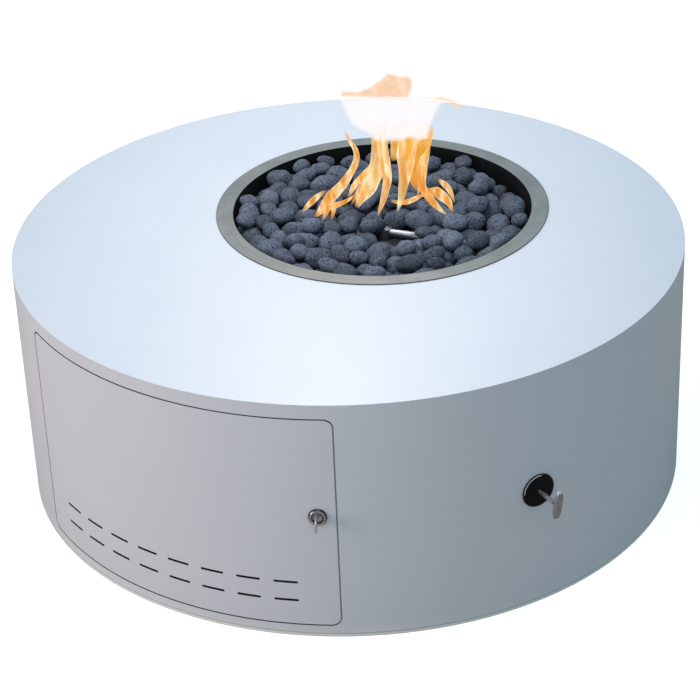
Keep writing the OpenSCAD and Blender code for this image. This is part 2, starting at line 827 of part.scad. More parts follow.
// Loose key: a square socket, a round shaft and a flat handle across it
module gas_key() {
    socket_low = -stem_end - stem_square_len + seat;
    hole_side = stem_side + key_square_play;
    color("silver") facing(valve_turn, valve_z) difference() {
        union() {
            translate([0, 0, socket_low]) cylinder(r = key_socket_r, h = key_socket_len);
            translate([0, 0, socket_low]) cylinder(r = key_shaft_r, h = key_reach - socket_low + over);
            translate([0, 0, key_reach]) linear_extrude(key_handle_t)
                polygon(handle_outline(key_handle_len, key_handle_w));
        }
        translate([-hole_side / 2, -hole_side / 2, socket_low - over])
            cube([hole_side, hole_side, stem_square_len + over]);
    }
}

side_wall();
top_plate();
foot_flange();
frame_posts();
pan_collar();
door_stop();
hinge_brackets();
hinge_pins();
burner_pan();
burner_ring();
burner_hub();
burner_nipple();
nipple_locknuts();
pipe_elbow();
air_mixer();
hose_nuts();
gas_hose();
lava_fill();
lava_stones();
valve_body();
valve_locknut();
valve_cover_plate();
inlet_adapter();
valve_stem();
valve_ball();
gas_key();
door_panel();
hinge_knuckles();
lock_barrel();
lock_nut();
lock_plug();
lock_cam();
cam_screw();
door_key();
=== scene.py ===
import math
import random

import bpy
import numpy
from mathutils import Euler, Matrix, Vector, noise


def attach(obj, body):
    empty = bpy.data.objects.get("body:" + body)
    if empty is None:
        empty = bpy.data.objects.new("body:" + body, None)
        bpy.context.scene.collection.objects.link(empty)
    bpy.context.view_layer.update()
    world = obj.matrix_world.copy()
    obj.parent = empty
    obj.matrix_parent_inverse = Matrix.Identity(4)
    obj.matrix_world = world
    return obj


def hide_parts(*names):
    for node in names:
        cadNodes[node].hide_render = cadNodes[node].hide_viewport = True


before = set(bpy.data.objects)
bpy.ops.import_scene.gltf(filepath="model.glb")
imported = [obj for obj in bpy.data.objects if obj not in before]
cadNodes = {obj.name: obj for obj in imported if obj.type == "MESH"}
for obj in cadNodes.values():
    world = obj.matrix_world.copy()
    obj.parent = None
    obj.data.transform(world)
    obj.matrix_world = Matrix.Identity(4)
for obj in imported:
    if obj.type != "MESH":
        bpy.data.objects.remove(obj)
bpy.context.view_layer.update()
print("stage: frame loaded")

# what the whole scene shares: the pan's centre, and where the two fittings leave the wall
pit = {"radius": 0.61, "panCentre": Vector((0.0, 0.12, 0.0))}
cameraPlace = {
    "location": Vector((2.052, -3.07917, 2.31689)),
    "turn": (60.3168, 2.0898, 32.5551),
    "lens": 116.648, "sensor": 36, "farEnd": 60, "frame": 700,
}
valvePlace = {"turn": -26.84, "height": 0.2285}
lockPlace = {"turn": -62.7093, "height": 0.243}


def makeActive(piece):
    bpy.ops.object.select_all(action="DESELECT")
    piece.select_set(True)
    bpy.context.view_layer.objects.active = piece


def settle(piece):
    # the place goes into the mesh, and the object stays at the origin
    makeActive(piece)
    bpy.ops.object.transform_apply(location=True, rotation=True, scale=True)


def addModifier(piece, kind, **values):
    makeActive(piece)
    modifier = piece.modifiers.new(kind.title(), kind)
    for key, value in values.items():
        setattr(modifier, key, value)
    bpy.ops.object.modifier_apply(modifier=modifier.name)


def easeEdges(piece, width, segments, degrees):
    addModifier(piece, "BEVEL", width=width, segments=segments, limit_method="ANGLE",
                angle_limit=math.radians(degrees), use_clamp_overlap=True)


def smoothAll(piece):
    makeActive(piece)
    bpy.ops.object.shade_smooth()


def smoothByAngle(piece, degrees):
    makeActive(piece)
    bpy.ops.object.shade_smooth_by_angle(angle=math.radians(degrees))


def editAll(piece, *steps):
    # edit mode operators on the whole mesh, one after another
    makeActive(piece)
    bpy.ops.object.mode_set(mode="EDIT")
    bpy.ops.mesh.select_all(action="SELECT")
    for operator, values in steps:
        operator(**values)
    bpy.ops.object.mode_set(mode="OBJECT")


def dress(piece, material):
    piece.data.materials.clear()
    piece.data.materials.append(material)


def addPiece(name, data):
    piece = bpy.data.objects.new(name, data)
    bpy.context.scene.collection.objects.link(piece)
    return piece


def joinPieces(pieces, name):
    makeActive(pieces[0])
    for piece in pieces:
        piece.select_set(True)
    bpy.ops.object.join()
    joined = bpy.context.object
    joined.name = name
    joined.data.name = name
    return joined


def startTube(name, splineKind, roundness):
    # a round tube whose radius is given point by point
    curve = bpy.data.curves.new(name, "CURVE")
    curve.dimensions = "3D"
    curve.bevel_depth = 1.0
    curve.bevel_resolution = roundness
    return curve, curve.splines.new(splineKind)


def tubeToMesh(name, curve):
    makeActive(addPiece(name, curve))
    bpy.ops.object.convert(target="MESH")
    return bpy.context.object


def wallSpot(place, inset=0.0):
    turn = math.radians(place["turn"])
    reach = pit["radius"] - inset
    return Vector((reach * math.cos(turn), reach * math.sin(turn), place["height"]))


# camera, floor and light

bpy.ops.object.camera_add(
    location=cameraPlace["location"],
    rotation=[math.radians(a) for a in cameraPlace["turn"]],
)
camera = bpy.context.object
camera.data.lens = cameraPlace["lens"]
camera.data.sensor_width = cameraPlace["sensor"]
camera.data.clip_end = cameraPlace["farEnd"]
bpy.context.scene.camera = camera

studio = {
    "worldColor": (0.55, 0.82, 1.0, 1), "worldStrength": 0.73, "white": (1, 1, 1, 1),
    "overhead": {"location": (-0.05, -0.02, 1.4), "size": 0.4, "long": 2.2, "turn": 32.7,
                 "power": 12.5, "color": (1.0, 0.93, 0.90)},
    "leftSide": {"location": (-1.75, -3.05, 1.15), "size": 1.6, "aim": (0, 0, 0.3),
                 "power": 48, "color": (1.0, 0.85, 0.81)},
}


def addSoftLight(name, place):
    bpy.ops.object.light_add(type="AREA", location=place["location"])
    lamp = bpy.context.object
    lamp.name = name
    lamp.data.size = place["size"]
    lamp.data.energy = place["power"]
    lamp.data.color = place["color"]
    lamp.visible_camera = False
    if "long" in place:
        # a strip that hangs level, turned about the upright
        lamp.data.shape = "RECTANGLE"
        lamp.data.size_y = place["long"]
        lamp.rotation_euler = (0, 0, math.radians(place["turn"]))
    else:
        aim = Vector(place["aim"]) - Vector(place["location"])
        lamp.rotation_euler = aim.to_track_quat("-Z", "Y").to_euler()


for lampName in ("overhead", "leftSide"):
    addSoftLight(lampName, studio[lampName])

bpy.context.scene.view_settings.view_transform = "Standard"


# shader nodes, each added to a tree by one call


def startMaterial(name):
    material = bpy.data.materials.new(name)
    material.use_nodes = True
    tree = material.node_tree
    return material, tree, tree.nodes, tree.links


def setInputs(node, **values):
    for label, value in values.items():
        node.inputs[label].default_value = value


def setOrLink(tree, socket, value):
    if isinstance(value, (int, float)):
        socket.default_value = value
    else:
        tree.links.new(value, socket)


def addMath(tree, operation, *values, clamp=False):
    node = tree.nodes.new("ShaderNodeMath")
    node.operation = operation
    node.use_clamp = clamp
    for index, value in enumerate(values):
        setOrLink(tree, node.inputs[index], value)
    return node.outputs[0]


def multiply(tree, *values):
    return addMath(tree, "MULTIPLY", *values)


def addNoise(tree, vector, scale, detail=4.0):
    node = tree.nodes.new("ShaderNodeTexNoise")
    tree.links.new(vector, node.inputs["Vector"])
    setOrLink(tree, node.inputs["Scale"], scale)
    setInputs(node, Detail=detail, Roughness=0.55)
    return node.outputs["Fac"]


def addRange(tree, value, low, high, newLow=0.0, newHigh=1.0, smooth=False):
    node = tree.nodes.new("ShaderNodeMapRange")
    node.interpolation_type = "SMOOTHSTEP" if smooth else "LINEAR"
    tree.links.new(value, node.inputs["Value"])
    labels = ("From Min", "From Max", "To Min", "To Max")
    for label, number in zip(labels, (low, high, newLow, newHigh)):
        setOrLink(tree, node.inputs[label], number)
    return node.outputs["Result"]


def addMix(tree, factor, first, second):
    node = tree.nodes.new("ShaderNodeMix")
    node.data_type = "RGBA"
    tree.links.new(factor, node.inputs["Factor"])
    for label, value in (("A", first), ("B", second)):
        socket = [s for s in node.inputs if s.name == label and s.type == "RGBA"][0]
        if isinstance(value, tuple):
            socket.default_value = (*value, 1)
        else:
            tree.links.new(value, socket)
    return [s for s in node.outputs if s.type == "RGBA"][0]


def addMixShader(tree, *inputs):
    # factor, first shader, second shader
    node = tree.nodes.new("ShaderNodeMixShader")
    for index, value in enumerate(inputs):
        tree.links.new(value, node.inputs[index])
    return node.outputs[0]


def addSplit(tree, vector):
    node = tree.nodes.new("ShaderNodeSeparateXYZ")
    tree.links.new(vector, node.inputs[0])
    return node.outputs


def addAttribute(tree, name):
    node = tree.nodes.new("ShaderNodeAttribute")
    node.attribute_name = name
    return node.outputs["Fac"]


def addRadius(tree, vector, first, second):
    # distance from the axis along which neither of the two coordinates runs
    split = addSplit(tree, vector)
    squares = [addMath(tree, "POWER", split[label], 2) for label in (first, second)]
    return addMath(tree, "SQRT", addMath(tree, "ADD", *squares))


def makeWorld():
    # a soft sky lights the scene, and the camera sees white
    world = bpy.data.worlds.new("studioWorld")
    bpy.context.scene.world = world
    world.use_nodes = True
    nodes = world.node_tree.nodes
    sky = nodes["Background"]
    setInputs(sky, Color=studio["worldColor"], Strength=studio["worldStrength"])
    white = nodes.new("ShaderNodeBackground")
    setInputs(white, Color=studio["white"])
    seen = nodes.new("ShaderNodeLightPath").outputs["Is Camera Ray"]
    picked = addMixShader(world.node_tree, seen, sky.outputs[0], white.outputs[0])
    world.node_tree.links.new(picked, nodes["World Output"].inputs["Surface"])


floorLook = {
    "size": 40, "drop": 0.0005, "shader": {"Roughness": 0.9, "Specular IOR Level": 0.1}, "lift": 0.66,
    "underDrum": (0.600, 0.604), "forLight": (0.53, 0.38, 0.29), "forCamera": (0.93, 0.87, 0.86),
}


def makeFloor():
    bpy.ops.mesh.primitive_plane_add(size=floorLook["size"], location=(0, 0, -floorLook["drop"]))
    floor = bpy.context.object
    floor.name = "studioFloor"
    settle(floor)
    material, tree, nodes, links = startMaterial("floorPale")
    plain = nodes["Principled BSDF"]
    setInputs(plain, **floorLook["shader"])
    # the camera sees a white floor, except inside the drum, and the drum gets the light of a darker one
    spot = nodes.new("ShaderNodeTexCoord").outputs["Object"]
    outside = addRange(tree, addRadius(tree, spot, "X", "Y"), *floorLook["underDrum"])
    path = nodes.new("ShaderNodeLightPath")
    shown = multiply(tree, path.outputs["Is Camera Ray"], outside)
    tone = addMix(tree, shown, floorLook["forLight"], floorLook["forCamera"])
    links.new(tone, plain.inputs["Base Color"])
    lift = nodes.new("ShaderNodeEmission")
    setInputs(lift, Color=studio["white"])
    links.new(multiply(tree, shown, floorLook["lift"]), lift.inputs["Strength"])
    both = nodes.new("ShaderNodeAddShader")
    links.new(plain.outputs[0], both.inputs[0])
    links.new(lift.outputs[0], both.inputs[1])
    links.new(both.outputs[0], nodes["Material Output"].inputs["Surface"])
    dress(floor, material)


makeWorld()
makeFloor()
print("stage: camera, floor and light")

# shared shader groups

grainSize = {
    "peelPatch": 9.0, "brushedPatch": 14.0, "brushedTurn": 2.0, "dustCloud": 26.0,
    "poreWarp": 90.0, "poreShift": 0.006, "poreEdge": (0.08, 0.42), "grit": 700.0, "gritShare": 0.6,
}


def startGroup(name, numbers, outputs):
    # every group takes a vector and a few numbers, and gives values
    group = bpy.data.node_groups.new(name, "ShaderNodeTree")
    group.interface.new_socket(name="Vector", in_out="INPUT", socket_type="NodeSocketVector")
    for label, value in numbers.items():
        socket = group.interface.new_socket(name=label, in_out="INPUT", socket_type="NodeSocketFloat")
        socket.default_value = value
    for label in outputs:
        group.interface.new_socket(name=label, in_out="OUTPUT", socket_type="NodeSocketFloat")
    give = group.nodes.new("NodeGroupOutput").inputs
    return group, group.nodes.new("NodeGroupInput").outputs, give


def buildMottle():
    # soft cloudy change of tone, for paint, castings and stone
    group, take, give = startGroup("mottle", {"Scale": 5.0, "Contrast": 1.0}, ["Value"])
    wide = addNoise(group, take["Vector"], take["Scale"], 3.0)
    spread = multiply(group, addMath(group, "SUBTRACT", wide, 0.5), take["Contrast"])
    group.links.new(addMath(group, "ADD", spread, 0.5, clamp=True), give["Value"])
    return group


def buildPeel():
    # the fine grain of sprayed paint or a casting
    group, take, give = startGroup("peel", {"Scale": 600.0}, ["Height", "Rough"])
    group.links.new(addNoise(group, take["Vector"], take["Scale"], 2.0), give["Height"])
    group.links.new(addNoise(group, take["Vector"], grainSize["peelPatch"], 2.0), give["Rough"])
    return group


def buildBrushed():
    # streaks that run round the vector's Z axis
    group, take, give = startGroup("brushedRound", {"Fineness": 900.0}, ["Streak", "Patch"])
    split = addSplit(group, take["Vector"])
    radius = addRadius(group, take["Vector"], "X", "Y")
    turn = addMath(group, "ARCTAN2", split["Y"], split["X"])
    combine = group.nodes.new("ShaderNodeCombineXYZ")
    across, along = take["Fineness"], grainSize["brushedTurn"]
    for label, value, factor in (("X", radius, across), ("Y", turn, along), ("Z", split["Z"], across)):
        group.links.new(multiply(group, value, factor), combine.inputs[label])
    group.links.new(addNoise(group, combine.outputs[0], 1.0, 3.0), give["Streak"])
    group.links.new(addNoise(group, take["Vector"], grainSize["brushedPatch"]), give["Patch"])
    return group


def buildPits():
    # open pores and grit of tumbled lava
    group, take, give = startGroup("lavaPits", {"Scale": 260.0}, ["Height", "Pit"])
    shift = group.nodes.new("ShaderNodeVectorMath")
    shift.operation = "SCALE"
    shift.inputs[0].default_value = [grainSize["poreShift"]] * 3
    group.links.new(addNoise(group, take["Vector"], grainSize["poreWarp"], 3.0), shift.inputs["Scale"])
    moved = group.nodes.new("ShaderNodeVectorMath")
    moved.operation = "ADD"
    group.links.new(take["Vector"], moved.inputs[0])
    group.links.new(shift.outputs[0], moved.inputs[1])
    cells = group.nodes.new("ShaderNodeTexVoronoi")
    group.links.new(moved.outputs[0], cells.inputs["Vector"])
    group.links.new(take["Scale"], cells.inputs["Scale"])
    pit = addRange(group, cells.outputs["Distance"], *grainSize["poreEdge"], 1.0, 0.0, True)
    grit = addNoise(group, take["Vector"], grainSize["grit"], 3.0)
    grain = multiply(group, grit, grainSize["gritShare"])
    group.links.new(addMath(group, "SUBTRACT", grain, pit), give["Height"])
    group.links.new(pit, give["Pit"])
    return group


def buildGrime():
    # dust that thickens down towards a height, broken up by noise
    group, take, give = startGroup("grime", {"Low": 0.0, "High": 0.05}, ["Mask"])
    height = addSplit(group, take["Vector"])["Z"]
    fade = addRange(group, height, take["Low"], take["High"], 1.0, 0.0, True)
    cloud = addNoise(group, take["Vector"], grainSize["dustCloud"], 5.0)
    group.links.new(addMath(group, "MULTIPLY", fade, cloud, clamp=True), give["Mask"])
    return group


shaderGroups = {
    "mottle": buildMottle(),
    "peel": buildPeel(),
    "brushed": buildBrushed(),
    "pits": buildPits(),
    "grime": buildGrime(),
}


class Finish:
    # one material with its Principled shader, and quick ways to wire the shared groups into it
    def __init__(self, name, metallic, roughness):
        self.material, self.tree, self.nodes, self.links = startMaterial(name)
        self.shader = self.nodes["Principled BSDF"]
        setInputs(self.shader, Metallic=metallic, Roughness=roughness)
        self.coords = self.nodes.new("ShaderNodeTexCoord").outputs["Object"]

    def centred(self, centre, turn=0):
        mapping = self.nodes.new("ShaderNodeMapping")
        mapping.vector_type = "TEXTURE"
        setInputs(mapping, Location=centre, Rotation=(0, 0, math.radians(turn)))
        self.links.new(self.coords, mapping.inputs["Vector"])
        return mapping.outputs[0]

    def group(self, key, vector=None, **values):
        node = self.nodes.new("ShaderNodeGroup")
        node.node_tree = shaderGroups[key]
        self.links.new(vector or self.coords, node.inputs["Vector"])
        setInputs(node, **values)
        return node.outputs

    def mottle(self, scale, contrast):
        return self.group("mottle", Scale=scale, Contrast=contrast)["Value"]

    def axis(self, vector, label="Z"):
        return addSplit(self.tree, vector)[label]

    def band(self, value, middle, full, edge):
        # 1 within full of the middle, 0 beyond edge
        apart = addMath(self.tree, "ABSOLUTE", addMath(self.tree, "SUBTRACT", value, middle))
        return addRange(self.tree, apart, full, edge, 1.0, 0.0, True)

    def mix(self, factor, first, second):
        return addMix(self.tree, factor, first, second)

    def color(self, socket):
        self.links.new(socket, self.shader.inputs["Base Color"])

    def rough(self, value, low, high):
        spread = addRange(self.tree, value, 0.25, 0.75, low, high)
        self.links.new(spread, self.shader.inputs["Roughness"])

    def specular(self, level):
        self.shader.inputs["Specular IOR Level"].default_value = level

    def bump(self, height, distance, strength=0.5):
        node = self.nodes.new("ShaderNodeBump")
        setInputs(node, Strength=strength, Distance=distance)
        self.links.new(height, node.inputs["Height"])
        self.links.new(node.outputs[0], self.shader.inputs["Normal"])


shellLook = {
    "body": ((0.615, 0.607, 0.640), (0.655, 0.645, 0.676)), "mottle": (2.2, 0.9),
    "dust": (0.74, 0.73, 0.71), "dustTop": 0.035,
    # seam: a dark seam line with a painted shadow line
    "seamAndShadow": (0.42, 0.42, 0.43), "seamHeight": 0.0066, "seamHalf": (0.0005, 0.0012),
    "bare": (0.80, 0.76, 0.70), "bareTop": (0.0050, 0.0058),
    # cut edges: dark cut steel, and painted shade in the slots and seams
    "cut": (0.045, 0.045, 0.058), "cutTurn": (0.3, 0.6), "cutRadius": (0.6060, 0.6066),
    "cutTop": (0.4440, 0.4460), "peelScale": 420.0, "peelDepth": 0.00012, "peelStrength": 0.35,
    "rough": (0.32, 0.44),
}


def makeShellPaint():
    finish, look = Finish("shellPaint", 0.0, 0.36), shellLook
    tree, spot = finish.tree, finish.coords
    body = finish.mix(finish.mottle(*look["mottle"]), *look["body"])
    dusty = finish.mix(finish.group("grime", Low=0.0, High=look["dustTop"])["Mask"], body, look["dust"])
    # a fine dark line, painted as the seam and its shadow line, and the pale bare edge of the foot
    # under it
    line = finish.band(finish.axis(spot), look["seamHeight"], *look["seamHalf"])
    seamAndShadow = finish.mix(line, dusty, look["seamAndShadow"])
    bare = addRange(tree, finish.axis(spot), *look["bareTop"], 1.0, 0.0)
    footed = finish.mix(bare, seamAndShadow, look["bare"])
    # painted shade: the cut edges of the wall and the door are coloured dark, partly as dark cut steel
    # and partly as the shade in the slots, seams and the lock's hole
    normal = spot.node.outputs["Normal"]
    radius = addRadius(tree, spot, "X", "Y")
    first = multiply(tree, finish.axis(normal, "X"), finish.axis(spot, "X"))
    facing = addMath(tree, "MULTIPLY_ADD", finish.axis(normal, "Y"), finish.axis(spot, "Y"), first)
    outward = addMath(tree, "ABSOLUTE", addMath(tree, "DIVIDE", facing, radius))
    cut = multiply(tree, addRange(tree, outward, *look["cutTurn"], 1.0, 0.0),
                  addRange(tree, radius, *look["cutRadius"]))
    below = addRange(tree, finish.axis(spot), *look["cutTop"], 1.0, 0.0)
    finish.color(finish.mix(multiply(tree, cut, below), footed, look["cut"]))
    peel = finish.group("peel", Scale=look["peelScale"])
    finish.rough(peel["Rough"], *look["rough"])
    finish.bump(peel["Height"], look["peelDepth"], look["peelStrength"])
    return finish.material


panLook = {
    "streak": ((0.200, 0.184, 0.168), (0.440, 0.405, 0.370)), "fineness": 700.0, "streakDepth": 0.0002,
    "cloud": (0.250, 0.230, 0.210), "cloudRange": (0.36, 0.62), "cloudCover": 0.7,
    # lip: a painted shadow line along the flange's outer edge
    "lipShadow": (0.08, 0.08, 0.085), "lipShadowRadius": (0.3082, 0.3088),
    # bowl: near black, for soot and for painted shade
    "sootAndShade": (0.0035, 0.0035, 0.004), "bowlRadius": (0.2775, 0.2785),
    # on the flange, and in the bowl
    "metallic": (0.6, 0.0), "rough": (0.36, 0.8), "specular": 0.2,
}


def makePanSteel():
    # the flange is brushed, and the bowl below it is coloured near black, as soot from the heat and as
    # painted shade on its inner wall
    finish, look = Finish("panSteel", 1.0, 0.34), panLook
    tree = finish.tree
    finish.specular(look["specular"])
    vector = finish.centred(pit["panCentre"])
    brushed = finish.group("brushed", vector, Fineness=look["fineness"])
    streak = finish.mix(brushed["Streak"], *look["streak"])
    cloud = addRange(tree, brushed["Patch"], *look["cloudRange"], 0.0, look["cloudCover"], True)
    patch = finish.mix(cloud, streak, look["cloud"])
    radius = addRadius(tree, vector, "X", "Y")
    # painted shadow: the flange's outer edge is coloured dark
    shaded = finish.mix(addRange(tree, radius, *look["lipShadowRadius"]), patch, look["lipShadow"])
    # the bowl's near black is soot and painted shade
    sootAndShade = addRange(tree, radius, *look["bowlRadius"], 1.0, 0.0)
    finish.color(finish.mix(sootAndShade, shaded, look["sootAndShade"]))
    finish.links.new(addRange(tree, sootAndShade, 0, 1, *look["metallic"]), finish.shader.inputs["Metallic"])
    finish.links.new(addRange(tree, sootAndShade, 0, 1, *look["rough"]), finish.shader.inputs["Roughness"])
    finish.bump(brushed["Streak"], look["streakDepth"])
    return finish.material


metalLook = {"contrast": 1.4, "smoothest": 0.8, "roughest": 1.3}


def makeMetal(name, dark, light, roughness, metallic=1.0, scale=30.0, grain=500.0, depth=0.00006):
    finish = Finish(name, metallic, roughness)
    finish.color(finish.mix(finish.mottle(scale, metalLook["contrast"]), dark, light))
    peel = finish.group("peel", Scale=grain)
    finish.rough(peel["Rough"], roughness * metalLook["smoothest"], roughness * metalLook["roughest"])
    finish.bump(peel["Height"], depth)
    return finish.material


lavaLook = {
    "mottle": (38.0, 1.8), "mottleShare": 0.45, "stoneShare": 0.6, "specular": 0.3,
    "ashScale": 420.0, "ashRange": (0.55, 0.75), "ashCover": 0.55,
    # pore: near black, painted shade in the pores
    "poreShade": (0.004, 0.005, 0.009), "poreScale": 240.0, "poreCover": 0.95, "poreDepth": 0.0016,
}


def makeLava(name, dark, light, ash, toneName=None):
    finish, look = Finish(name, 0.0, 0.9), lavaLook
    tree = finish.tree
    finish.specular(look["specular"])
    tone = finish.mottle(*look["mottle"])
    if toneName:
        own = multiply(tree, addAttribute(tree, toneName), look["stoneShare"])
        tone = addMath(tree, "MULTIPLY_ADD", tone, look["mottleShare"], own)
    body = finish.mix(tone, dark, light)
    pits = finish.group("pits", Scale=look["poreScale"])
    speckle = addNoise(tree, finish.coords, look["ashScale"])
    pale = addRange(tree, speckle, *look["ashRange"], 0.0, look["ashCover"], True)
    dusty = finish.mix(pale, body, ash)
    # painted shade: the pores are coloured near black
    poreShade = multiply(tree, pits["Pit"], look["poreCover"])
    finish.color(finish.mix(poreShade, dusty, look["poreShade"]))
    finish.bump(pits["Height"], look["poreDepth"], 1.0)
    return finish.material


def fittingVector(finish, place):
    # the fitting's own frame: X leaves the wall, Y runs to the right seen from outside, Z is up
    return finish.centred(wallSpot(place), place["turn"])


plateLook = {
    "body": ((0.0012, 0.0012, 0.0014), (0.0040, 0.0040, 0.0046)), "mottle": (40.0, 1.4),
    "specular": 0.15, "peelScale": 700.0, "peelDepth": 0.00006,
    "grooveHighlight": (0.78, 0.77, 0.74), "grooveRadius": 0.0290, "grooveHalf": (0.0005, 0.0010),
    # the painted highlight's direction: its share to the right and upwards, and how far round it
    # reaches
    "litRight": -0.62, "litUp": 0.79, "litRange": (0.58, 0.76),
}


def makeBlackPlate():
    # satin black, with a painted highlight along the groove on its upper left
    finish, look = Finish("blackPlate", 0.0, 0.5), plateLook
    tree = finish.tree
    finish.specular(look["specular"])
    vector = fittingVector(finish, valvePlace)
    radius = addRadius(tree, vector, "Y", "Z")
    right = multiply(tree, finish.axis(vector, "Y"), look["litRight"])
    toward = addMath(tree, "MULTIPLY_ADD", finish.axis(vector), look["litUp"], right)
    lit = addRange(tree, addMath(tree, "DIVIDE", toward, radius), *look["litRange"], 0.0, 1.0, True)
    ring = finish.band(radius, look["grooveRadius"], *look["grooveHalf"])
    # painted highlight on the upper left part of the groove
    grooveHighlight = multiply(tree, ring, lit)
    body = finish.mix(finish.mottle(*look["mottle"]), *look["body"])
    finish.color(finish.mix(grooveHighlight, body, look["grooveHighlight"]))
    finish.bump(finish.group("peel", Scale=look["peelScale"])["Height"], look["peelDepth"])
    return finish.material


lockLook = {
    "body": ((0.20, 0.20, 0.23), (0.72, 0.72, 0.78)), "mottle": (420.0, 2.4), "rough": (0.14, 0.3),
    # ring and edge: painted shade in the groove round the plug and at the face's outer edge
    "ring": (0.04, 0.04, 0.05), "ringRadius": 0.0092, "ringShadeHalf": (0.0007, 0.0018),
    "edge": (0.03, 0.03, 0.035), "edgeShadeRadius": (0.0128, 0.0146), "edgeShadeCover": 0.94,
    "dentDepth": 0.0002, "dentStrength": 0.6,
}


def makeLockChrome():
    # bright face, with painted shade in its outer edge and in the groove round the plug
    finish, look = Finish("lockChrome", 1.0, 0.2), lockLook
    radius = addRadius(finish.tree, fittingVector(finish, lockPlace), "Y", "Z")
    tone = finish.mottle(*look["mottle"])
    body = finish.mix(tone, *look["body"])
    # painted shade at the outer edge and in the groove round the plug
    edge = addRange(finish.tree, radius, *look["edgeShadeRadius"], 0.0, look["edgeShadeCover"], True)
    ringShaded = finish.mix(finish.band(radius, look["ringRadius"], *look["ringShadeHalf"]), body, look["ring"])
    finish.color(finish.mix(edge, ringShaded, look["edge"]))
    finish.rough(tone, *look["rough"])
    finish.bump(tone, look["dentDepth"], look["dentStrength"])
    return finish.material


castLook = {
    "body": ((0.20, 0.20, 0.23), (0.46, 0.46, 0.51)), "mottle": (260.0, 2.2), "rough": (0.28, 0.42),
    # endHighlight: a painted highlight on the handle's rounded ends
    "endHighlight": (0.92, 0.92, 0.95), "endHighlightFrom": (0.0205, 0.0245), "endHighlightCover": 0.85,
    "peelScale": 520.0, "peelDepth": 0.0003, "peelStrength": 0.6,
}


def makeCastKey():
    # grey cast metal, with a painted highlight at both ends of the handle
    finish, look = Finish("castKey", 0.75, 0.36), castLook
    tone = finish.mottle(*look["mottle"])
    far = addMath(finish.tree, "ABSOLUTE", finish.axis(fittingVector(finish, valvePlace)))
    # painted highlight at both ends of the handle
    endHighlight = addRange(finish.tree, far, *look["endHighlightFrom"], 0.0, look["endHighlightCover"], True)
    finish.color(finish.mix(endHighlight, finish.mix(tone, *look["body"]), look["endHighlight"]))
    finish.rough(tone, *look["rough"])
    peel = finish.group("peel", Scale=look["peelScale"])
    finish.bump(peel["Height"], look["peelDepth"], look["peelStrength"])
    return finish.material


# each metal: dark and light tone, roughness, and where they differ, metallic, mottle, grain and depth
metals = {
    "stainless": ((0.42, 0.42, 0.41), (0.58, 0.57, 0.55), 0.32),
    "burnerSteel": ((0.30, 0.31, 0.33), (0.50, 0.50, 0.51), 0.42, 1.0, 22.0),
    "zinc": ((0.46, 0.47, 0.49), (0.60, 0.61, 0.63), 0.38),
    "iron": ((0.030, 0.030, 0.032), (0.075, 0.075, 0.08), 0.7, 0.6, 45.0, 320.0, 0.0003),
    "brass": ((0.52, 0.36, 0.13), (0.72, 0.53, 0.24), 0.3),
    "nickel": ((0.42, 0.42, 0.42), (0.62, 0.61, 0.60), 0.36, 0.8, 300.0),
}
finishes = {
    "shellPaint": makeShellPaint(),
    "panSteel": makePanSteel(),
    "blackPlate": makeBlackPlate(),
    "lockChrome": makeLockChrome(),
    "castKey": makeCastKey(),
    # the bed is coloured far darker than the stones: painted shade in the gaps between them
    "lavaBedShaded": makeLava("lavaBedShaded", (0.010, 0.011, 0.013), (0.035, 0.038, 0.046), (0.06, 0.065, 0.075)),
    "lavaStone": makeLava("lavaStone", (0.030, 0.034, 0.048), (0.155, 0.172, 0.222),
                          (0.40, 0.425, 0.49), "stoneTone"),
    **{name: makeMetal(name, *values) for name, values in metals.items()},
}

nodeFinish = {
    "shellPaint": "side_wall top_plate foot_flange frame_posts pan_collar door_stop door_panel",
    "panSteel": "burner_pan",
    "stainless": "valve_stem valve_ball gas_hose",
    "burnerSteel": "burner_ring burner_hub",
    "zinc": "hinge_brackets hinge_pins hinge_knuckles lock_nut lock_cam cam_screw nipple_locknuts",
    "iron": "burner_nipple pipe_elbow",
    "brass": "air_mixer hose_nuts valve_body valve_locknut inlet_adapter",
    "blackPlate": "valve_cover_plate",
    "lockChrome": "lock_barrel lock_plug",
    "castKey": "gas_key",
    "nickel": "door_key",
    "lavaBedShaded": "lava_fill",
    "lavaStone": "lava_stones",
}
for finishName, nodeNames in nodeFinish.items():
    for nodeName in nodeNames.split():
        dress(cadNodes[nodeName], finishes[finishName])
print("stage: finishes")

# valve key, modelled lying on the origin with Z out of the wall and X down

valveKey = {
    "handleLength": 0.054, "handleWidth": 0.0125, "handleThick": 0.0058, "bulge": 1.22,
    "endNarrow": 0.5, "endThin": 0.18, "reach": 0.0572, "shaftRadius": 0.0038, "shaftLow": -0.0082,
    "flareRadius": 0.0062, "flareDepth": 0.009, "flareDown": 0.0065, "sides": 40, "lean": -9.0,
}


